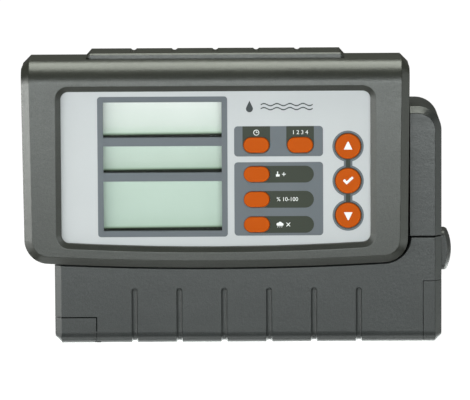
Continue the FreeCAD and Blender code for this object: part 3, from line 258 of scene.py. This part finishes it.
CLEAR = clear("clear_window")


def paint(material, *names):
    """Give CAD parts a material; their shapes stay as they are."""
    for name in names:
        slots = nodes[name].data.materials
        slots.clear()
        slots.append(material)


paint(SHELL, "control_housing", "control_rear_cover", "battery_door")
paint(BASE, "wall_housing", "docking_frame", "terminal_cover")
paint(BASE, "left_cable_shutter", "right_cable_shutter")
paint(BUTTON, "release_button")
paint(WHITE, "face_panel")
paint(ORANGE, "key_time", "key_channel", "key_manual", "key_run_time", "key_rain_off")
paint(ORANGE, "key_up", "key_enter", "key_down")
paint(STEEL, "control_unit_screws", "frame_screws", "board_screws", "terminal_screws")
paint(STEEL, "clamp_screws", "hinge_pins", "release_spring")
paint(RUBBER, "lcd_connector_strips", "battery_snap")
paint(SILICONE, "keypad_mat")
paint(BOARD, "control_circuit_board", "base_circuit_board")
paint(CHIP, "control_board_parts", "base_board_parts")
paint(CONNECTOR, "dock_plug", "dock_socket", "cable_clamp", "latch_slide")
paint(TERMINAL, "valve_terminal_block", "sensor_terminal_block", "power_terminal_block")
paint(CELL, "battery")
paint(CLEAR, "display_window")
paint(SHADOW, "display_spacer")
paint(TERMINAL, "lcd_glass")


# ---------------------------------------------------------------- flat printed pieces


def arc(x, z, radius, start, end, steps=10):
    """Points along an arc, angles in degrees."""
    out = []
    for i in range(steps + 1):
        a = math.radians(start + (end - start) * i / steps)
        out.append((x + radius * math.cos(a), z + radius * math.sin(a)))
    return out


def rounded(left, right, foot, top, radius, steps=8):
    """Rounded rectangle as a loop."""
    r = radius
    return (
        arc(right - r, top - r, r, 0, 90, steps)
        + arc(left + r, top - r, r, 90, 180, steps)
        + arc(left + r, foot + r, r, 180, 270, steps)
        + arc(right - r, foot + r, r, 270, 360, steps)
    )


def circle(x, z, radius, steps=64):
    return arc(x, z, radius, 0, 360 - 360 / steps, steps - 1)


def pill(x, z, wide, tall, grow=0.0):
    """Round-ended bar as a loop."""
    r = tall / 2 + grow
    reach = wide / 2 - tall / 2
    return arc(x + reach, z, r, -90, 90, 20) + arc(x - reach, z, r, 90, 270, 20)


def printed(name, loops, face, thick, material, body, lift=0.0):
    """A thin flat piece on a vertical face: loops of (x, z) in mm, and holes where they nest."""
    data = bpy.data.curves.new(name, "CURVE")
    data.dimensions = "2D"
    data.fill_mode = "BOTH"
    data.extrude = thick / 2 * MM
    for loop in loops:
        spline = data.splines.new("POLY")
        spline.points.add(len(loop) - 1)
        for point, (x, z) in zip(spline.points, loop):
            point.co = (x * MM, z * MM, 0, 1)
        spline.use_cyclic_u = True
    turn = Matrix.Rotation(math.radians(90), 4, "X")
    middle = face - (lift + thick / 2) * MM
    return finish_flat(name, data, Matrix.Translation((0, middle, 0)) @ turn, material, body)


def finish_flat(name, data, matrix, material, body):
    """Turn a filled curve into a mesh piece in the row frame, and let it ride."""
    source = bpy.data.objects.new(name + "_source", data)
    bpy.context.scene.collection.objects.link(source)
    bpy.context.view_layer.update()
    mesh = bpy.data.meshes.new_from_object(source.evaluated_get(bpy.context.evaluated_depsgraph_get()))
    bpy.data.objects.remove(source)
    mesh.transform(matrix)
    mesh.materials.clear()
    mesh.materials.append(material)
    piece = bpy.data.objects.new(name, mesh)
    bpy.context.scene.collection.objects.link(piece)
    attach(piece, body)
    return piece


def centre(node):
    """Middle of a CAD part as (x, z) in mm."""
    low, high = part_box(node)
    return (low.x + high.x) / 2 / MM, (low.z + high.z) / 2 / MM


# Where the CAD has things: the faces are in metres, all else in mm.
panel_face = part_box("face_panel")[0].y
glass_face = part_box("lcd_glass")[0].y
KEY_LONG, KEY_SHORT, KEY_GAP = 12.8, 7.7, 0.25
ROUND_KEY = 6.3
TOP_KEYS = ("key_time", "key_channel")
SIDE_KEYS = ("key_manual", "key_run_time", "key_rain_off")
ROUND_KEYS = ("key_up", "key_enter", "key_down")
key_at = {name: centre(name) for name in TOP_KEYS + SIDE_KEYS + ROUND_KEYS}
PRINT = 0.05
UNIT = "control_unit"


def key_hole(name, grow=0.0):
    """Outline of the gap round a key, which its surroundings leave free."""
    x, z = key_at[name]
    if name in ROUND_KEYS:
        return circle(x, z, ROUND_KEY + KEY_GAP + grow)
    return pill(x, z, KEY_LONG, KEY_SHORT, KEY_GAP + grow)


def on_panel(name, loops, material, lift=0.0):
    """Printed piece on the panel's face."""
    return printed(name, loops, panel_face, PRINT, material, UNIT, lift=lift)


# Grey surround of the display, with its three openings.
DISPLAY_X = (-72.35, -12.85)
DISPLAY_ROWS = [(45.5, 63.5), (27.8, 41.4), (-1.6, 23.7)]
surround = [rounded(-75.1, -10.1, -4.5, 66.2, 1.6)]
for foot, top in DISPLAY_ROWS:
    surround.append(rounded(DISPLAY_X[0], DISPLAY_X[1], foot, top, 0.15, 3))
on_panel("display_surround", surround, GREY)

# Two grey fields behind the oblong keys.
FIELD_X = (-6.75, 37.7)
UPPER_FIELD = (35.9, 51.1)
LOWER_FIELD = (-4.05, 33.0)
FIELD_ROUND = 1.8
upper_field = rounded(*FIELD_X, *UPPER_FIELD, FIELD_ROUND)
lower_field = rounded(*FIELD_X, *LOWER_FIELD, FIELD_ROUND)
on_panel("key_field_upper", [upper_field] + [key_hole(n) for n in TOP_KEYS], GREY)
on_panel("key_field_lower", [lower_field] + [key_hole(n) for n in SIDE_KEYS], GREY)

# Dark flags round the upper keys, and dark bars behind the lower ones.
FLAG_MARGIN = 0.5
BAR_SHIFT, BAR_LONG, BAR_TALL = 11.05, 35.1, 8.5
for name in TOP_KEYS:
    x, z = key_at[name]
    r = KEY_SHORT / 2 + FLAG_MARGIN
    reach = KEY_LONG / 2 + FLAG_MARGIN - r
    top = UPPER_FIELD[1]
    flag = [(x + reach + r, top), (x - reach - r, top)]
    flag += arc(x - reach, z, r, 180, 270, 12) + arc(x + reach, z, r, 270, 360, 12)
    on_panel(f"{name}_flag", [flag, key_hole(name)], DARK, lift=PRINT)
for name in SIDE_KEYS:
    x, z = key_at[name]
    bar = pill(x + BAR_SHIFT, z, BAR_LONG, BAR_TALL)
    on_panel(f"{name}_bar", [bar, key_hole(name)], DARK, lift=PRINT)

# Grey rings round the three round keys, joined by a spine with a dark core.
ring_x = key_at["key_up"][0]
RING, SPINE, CORE = 7.85, 2.15, 1.15


def ring_chain(radius, half_spine, heights):
    """Outline of discs joined by a bar, going up the right side and down the left."""
    a = math.degrees(math.asin(half_spine / radius))
    right = []
    for i, z in enumerate(heights):
        low = -90 if i == 0 else -90 + a
        high = 90 if i == len(heights) - 1 else 90 - a
        right += arc(ring_x, z, radius, low, high, 28)
    left = [(2 * ring_x - x, z) for x, z in reversed(right)]
    return right[1:-1] + left


heights = sorted(key_at[n][1] for n in ROUND_KEYS)
chain = [ring_chain(RING, SPINE, heights)] + [key_hole(n) for n in ROUND_KEYS]
on_panel("round_key_rings", chain, GREY)
for number, (low, high) in enumerate(zip(heights, heights[1:])):
    reach = ROUND_KEY + 0.55
    core = [(ring_x - CORE, low + reach), (ring_x + CORE, low + reach)]
    core += [(ring_x + CORE, high - reach), (ring_x - CORE, high - reach)]
    on_panel(f"ring_spine_{number}", [core], DARK, lift=PRINT)
for name in ROUND_KEYS:
    on_panel(f"{name}_rim", [key_hole(name, 0.3), key_hole(name)], DARK, lift=PRINT)


# ---------------------------------------------------------------- legends: plain signs and numerals


def bar_loop(x0, z0, x1, z1, wide):
    """A straight stroke with square ends."""
    dx, dz = x1 - x0, z1 - z0
    length = math.hypot(dx, dz)
    nx, nz = -dz / length * wide / 2, dx / length * wide / 2
    return [(x0 + nx, z0 + nz), (x0 - nx, z0 - nz), (x1 - nx, z1 - nz), (x1 + nx, z1 + nz)]


def sign(name, parts):
    """White sign made of one or more flat parts, numbered, each a hair above the one before."""
    for number, loops in enumerate(parts):
        on_panel(f"{name}_{number}", loops, LEGEND, lift=2 * PRINT + 0.01 * number)


def numerals(name, text, x, z, height):
    """Plain figures, centred at a point on the panel."""
    data = bpy.data.curves.new(name, "FONT")
    data.body = text
    data.size = height / 0.7 * MM
    data.align_x = "CENTER"
    data.align_y = "CENTER"
    data.extrude = PRINT / 2 * MM
    turn = Matrix.Rotation(math.radians(90), 4, "X")
    shift = Matrix.Translation((x * MM, panel_face - 2.5 * PRINT * MM, z * MM))
    return finish_flat(name, data, shift @ turn, LEGEND, UNIT)


legend_z = 47.9
x = key_at["key_time"][0]
clock = [
    [circle(x, legend_z, 1.45, 40), circle(x, legend_z, 1.13, 40)],
    [bar_loop(x, legend_z - 0.1, x, legend_z + 0.9, 0.28)],
    [bar_loop(x - 0.1, legend_z, x + 0.75, legend_z, 0.28)],
]
sign("clock_sign", clock)
numerals("channel_numerals", "1 2 3 4", key_at["key_channel"][0], legend_z, 2.0)

INK = film("print_ink_grey", (70, 74, 76), rough=0.4)
drop_x, drop_z = 1.0, 59.9
drop = arc(drop_x, drop_z, 1.75, -205, 25, 24)
drop += [(drop_x + 0.9, drop_z + 2.2), (drop_x, drop_z + 4.1), (drop_x - 0.9, drop_z + 2.2)]
on_panel("water_drop", [drop], INK)
WAVE_START, WAVE_LENGTH, WAVE_RISE, WAVE_HALF = 6.6, 26.0, 0.55, 0.3
WAVE_STEPS, STEPS_PER_WAVE = 96, 24
for number, z in enumerate((drop_z + 2.0, drop_z)):
    upper, lower = [], []
    for i in range(WAVE_STEPS + 1):
        x = WAVE_START + WAVE_LENGTH * i / WAVE_STEPS
        bend = WAVE_RISE * math.sin(2 * math.pi * i / STEPS_PER_WAVE)
        upper.append((x, z + bend + WAVE_HALF))
        lower.append((x, z + bend - WAVE_HALF))
    on_panel(f"water_wave_{number}", [upper + lower[::-1]], INK)

sign_x = 15.6
x, z = sign_x, key_at["key_manual"][1]
palm = [(-1.5, -1.2), (0.2, -1.2), (0.5, -0.2), (-0.4, 0.05)]
finger = [(-0.4, 1.35), (-0.95, 1.35), (-0.95, -0.1), (-1.5, 0.1)]
hand = [
    [[(x + dx, z + dz) for dx, dz in palm + finger]],
    [bar_loop(x + 1.5, z, x + 3.4, z, 0.36)],
    [bar_loop(x + 2.45, z - 0.95, x + 2.45, z + 0.95, 0.36)],
]
sign("hand_sign", hand)
numerals("percent_numerals", "% 10-100", sign_x + 4.2, key_at["key_run_time"][1], 2.0)

x, z = sign_x + 0.4, key_at["key_rain_off"][1]
cloud = [
    arc(x - 1.0, z + 0.1, 0.75, 100, 270, 12)
    + arc(x + 1.1, z + 0.05, 0.7, -90, 70, 12)
    + arc(x + 0.1, z + 0.45, 0.95, 20, 150, 12)
]
drops = [[bar_loop(x + s, z - 0.85, x + s - 0.25, z - 1.45, 0.26)] for s in (-0.9, 0.1, 1.1)]
cross = [
    [bar_loop(x + 3.3, z - 0.95, x + 5.1, z + 0.95, 0.36)],
    [bar_loop(x + 3.3, z + 0.95, x + 5.1, z - 0.95, 0.36)],
]
sign("rain_sign", [cloud] + drops + cross)

key_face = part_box("key_up")[0].y
arrow = [(-2.15, -1.6), (2.15, -1.6), (0.35, 2.15), (0, 2.45), (-0.35, 2.15)]
tick = [(-2.6, 0.1), (-1.75, 0.95), (-0.75, -0.15), (1.95, 2.25), (2.75, 1.35), (-0.75, -1.85)]
for key, outline, up in (("up", arrow, 1), ("down", arrow, -1), ("enter", tick, 1)):
    x, z = key_at["key_" + key]
    loop = [(x + dx, z + up * dz) for dx, dz in outline]
    printed(f"{key}_sign", [loop], key_face, PRINT, LEGEND, f"key_{key}_body")


# ---------------------------------------------------------------- display fields


# Colours by height in mm: a black strip as the rim's painted shadow, then the glass's grey-green,
# painted lighter towards each field's top and palest in the top field as a painted reflection.
SHADE = [(0.0, (10, 14, 6)), (0.95, (12, 18, 8)), (1.25, (40, 58, 36)), (1.7, (150, 174, 150))]
GLASS_AND_REFLECTION_TINTS = [
    [(2.6, (217, 231, 219)), (6.0, (233, 241, 235)), (18.0, (241, 245, 242))],
    [(2.5, (198, 215, 202)), (6.0, (208, 223, 212)), (13.6, (211, 226, 216))],
    [(2.5, (194, 213, 200)), (8.0, (201, 219, 208)), (25.3, (206, 223, 212))],
]
panel_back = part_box("face_panel")[1].y
for number, ((foot, top), stops) in enumerate(zip(DISPLAY_ROWS, GLASS_AND_REFLECTION_TINTS)):
    tint = display_glass_and_painted_light(f"display_glass_and_painted_light_{number}", foot, top, SHADE + stops)
    loop = rounded(DISPLAY_X[0] - 0.2, DISPLAY_X[1] + 0.2, foot - 0.2, top + 0.2, 0.2, 2)
    printed(f"display_field_{number}", [loop], glass_face, 0.04, tint, UNIT)
    edge = [rounded(*DISPLAY_X, foot, top, 0.15, 2)]
    edge.append(rounded(DISPLAY_X[0] + 0.12, DISPLAY_X[1] - 0.12, foot + 0.12, top - 0.12, 0.1, 2))
    deep = (panel_back - panel_face) / MM
    printed(f"display_edge_{number}", edge, panel_back, deep, GREY, UNIT)


# ---------------------------------------------------------------- painted shadow over the shutter gap


TONGUE_REACH = 1.8  # how far the shutter's tongue reaches past its own edge, mm
SHADOW_OUT = (0.25, 0.42)  # strip's reach to the right of that edge, and above the shutter's top, mm
SHADOW_IN = (0.3, 0.16)  # its reach to the left of that edge, and below the shutter's top
SHADOW_START = (3.2, 6.5)  # where the face is flat: past the side bevel, and above the rounded foot


def paint_shutter_gap_shadow():
    """Thin black strip laid on the cover's face over the left shutter's gap: a painted shadow that
    darkens that line.
    """
    low, high = (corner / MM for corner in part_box("left_cable_shutter"))
    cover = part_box("terminal_cover")[0]
    side = high.x - TONGUE_REACH
    outer = (side + SHADOW_OUT[0], high.z + SHADOW_OUT[1])
    inner = (side - SHADOW_IN[0], high.z - SHADOW_IN[1])
    start, foot = low.x + SHADOW_START[0], low.z + SHADOW_START[1]
    loop = [(start, outer[1]), outer, (outer[0], foot), (inner[0], foot), inner, (start, inner[1])]
    printed("left_shutter_gap_shadow", [loop], cover.y, 0.02, GAP_SHADOW_PAINT, "cover", lift=0.01)


paint_shutter_gap_shadow()


# ---------------------------------------------------------------- release spring


def spring_coil():
    """The button's spring as a piece of its own on the wall base, with its own copy of the mesh."""
    coil = bpy.data.objects.new("release_spring_coil", nodes["release_spring"].data.copy())
    bpy.context.scene.collection.objects.link(coil)
    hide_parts("release_spring")
    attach(coil, "wall_base")
    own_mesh(coil)


spring_coil()


# ---------------------------------------------------------------- floor, lights, camera


def stage():
    """Wide pale floor well below the wall unit, kept out of the object's own light."""
    data = bpy.data.meshes.new("floor")
    s, z = 40.0, -0.6
    data.from_pydata([(-s, -s, z), (s, -s, z), (s, s, z), (-s, s, z)], [], [(0, 1, 2, 3)])
    floor = bpy.data.objects.new("floor", data)
    m = Nodes("floor_paint")
    mottle = m.noise(2, 3, 0.5)
    m.link(m.ramp(mottle, [(0.3, [0.9] * 3), (0.7, [0.94] * 3)]), m.shader.inputs["Base Color"])
    m.set(Roughness=0.9, Specular_IOR_Level=0.2, Emission_Color=(1, 1, 1, 1), Emission_Strength=1.0)
    data.materials.append(m.material)
    floor.visible_diffuse = False
    floor.visible_glossy = False
    floor.visible_shadow = False
    bpy.context.scene.collection.objects.link(floor)


def softbox(name, azimuth, elevation, distance, size, radiance, colour):
    """Rectangular light facing the object; azimuth 0 is in front of it and 90 to its right."""
    a, e = math.radians(azimuth), math.radians(elevation)
    way = Vector((math.sin(a) * math.cos(e), -math.cos(a) * math.cos(e), math.sin(e)))
    data = bpy.data.lights.new(name, "AREA")
    data.shape = "RECTANGLE"
    data.size, data.size_y = size
    data.energy = radiance * math.pi * size[0] * size[1]
    data.color = colour
    lamp = bpy.data.objects.new(name, data)
    lamp.location = way * distance
    lamp.rotation_euler = way.to_track_quat("Z", "Y").to_euler()
    bpy.context.scene.collection.objects.link(lamp)


def sky():
    """Dim surroundings that show as plain white behind the object."""
    world = bpy.data.worlds.new("studio")
    world.use_nodes = True
    tree = world.node_tree
    back = tree.nodes["Background"]
    back.inputs["Color"].default_value = (1.0, 1.0, 0.9, 1)
    back.inputs["Strength"].default_value = 0.06
    white = tree.nodes.new("ShaderNodeBackground")
    white.inputs["Color"].default_value = (1, 1, 1, 1)
    white.inputs["Strength"].default_value = 1.0
    path = tree.nodes.new("ShaderNodeLightPath")
    mix = tree.nodes.new("ShaderNodeMixShader")
    tree.links.new(path.outputs["Is Camera Ray"], mix.inputs["Fac"])
    tree.links.new(back.outputs["Background"], mix.inputs[1])
    tree.links.new(white.outputs["Background"], mix.inputs[2])
    tree.links.new(mix.outputs["Shader"], tree.nodes["World Output"].inputs["Surface"])
    bpy.context.scene.world = world


CAMERA_RISE, CAMERA_ROLL = math.radians(7.5), math.radians(-0.3)
CAMERA_DISTANCE = 2.5
VIEW_WIDTH = 0.235  # what the picture's width covers at the object's front, m
AIM_X, AIM_Z = -0.00645, 0.01438
SENSOR = 36


def camera():
    """Long lens in front of the object and a little above it, looking slightly down."""
    rise = CAMERA_RISE
    distance = CAMERA_DISTANCE
    target = Vector((AIM_X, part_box("control_housing")[0].y, AIM_Z))
    away = Vector((0, -math.cos(rise), math.sin(rise)))
    data = bpy.data.cameras.new("camera")
    data.lens = SENSOR * distance / VIEW_WIDTH
    data.clip_end = 50
    cam = bpy.data.objects.new("camera", data)
    roll = Matrix.Rotation(CAMERA_ROLL, 4, "Z")
    facing = (-away).to_track_quat("-Z", "Y").to_matrix().to_4x4()
    cam.matrix_world = Matrix.Translation(target + away * distance) @ facing @ roll
    bpy.context.scene.collection.objects.link(cam)
    bpy.context.scene.camera = cam


# Name: azimuth and elevation in degrees, distance in m, size in m, radiance. Found by trial.
FRONT_LIGHTS = {
    "front_box": (0, 1, 2.9, (4.4, 1.05), 1.2),
    "key_box": (0, 6, 0.6, (0.9, 0.18), 4.3),
    "front_low_box": (0, -24, 2.9, (4.4, 1.2), 0.3),
}
FOOT_LIGHTS = {
    "under_box": (0, -70, 1.5, (1.5, 0.6), 2.0),
    "table_glow": (0, -85, 0.11, (0.3, 0.06), 1.9),
}
LEFT_LIGHTS = {
    "left_box": (-76, -16, 1.5, (1.8, 0.75), 1.5),
    "left_near_box": (-76, 0.5, 0.65, (0.85, 0.11), 8.0),
}
RIGHT_LIGHTS = {
    "right_box": (90, 0, 1.5, (1.4, 1.4), 0.8),
    "right_near_box": (70, -16, 0.6, (0.5, 0.14), 0.8),
}
REAR_LIGHTS = {
    "rear_box": (180, -28, 2.2, (2.6, 0.95), 4.6),
    "rear_left_box": (-135, -28, 2.0, (1.2, 0.85), 3.4),
    "rear_right_box": (128, -30, 2.0, (1.0, 0.8), 2.4),
}


def light_all(lights, colour):
    """One soft light for each row of a table."""
    for name, values in lights.items():
        softbox(name, *values, colour)


stage()
light_all(FRONT_LIGHTS, (0.93, 1.0, 0.985))
light_all({"overhead": (0, 97, 1.5, (1.4, 1.5), 5.1)}, (0.95, 1.0, 0.89))
light_all(FOOT_LIGHTS, (0.95, 1.0, 0.98))
light_all(LEFT_LIGHTS, (0.97, 1.0, 0.97))
light_all(RIGHT_LIGHTS, (0.93, 1.0, 0.95))
light_all(REAR_LIGHTS, (0.95, 1.0, 0.98))
sky()
camera()
bpy.context.scene.view_settings.view_transform = "Standard"
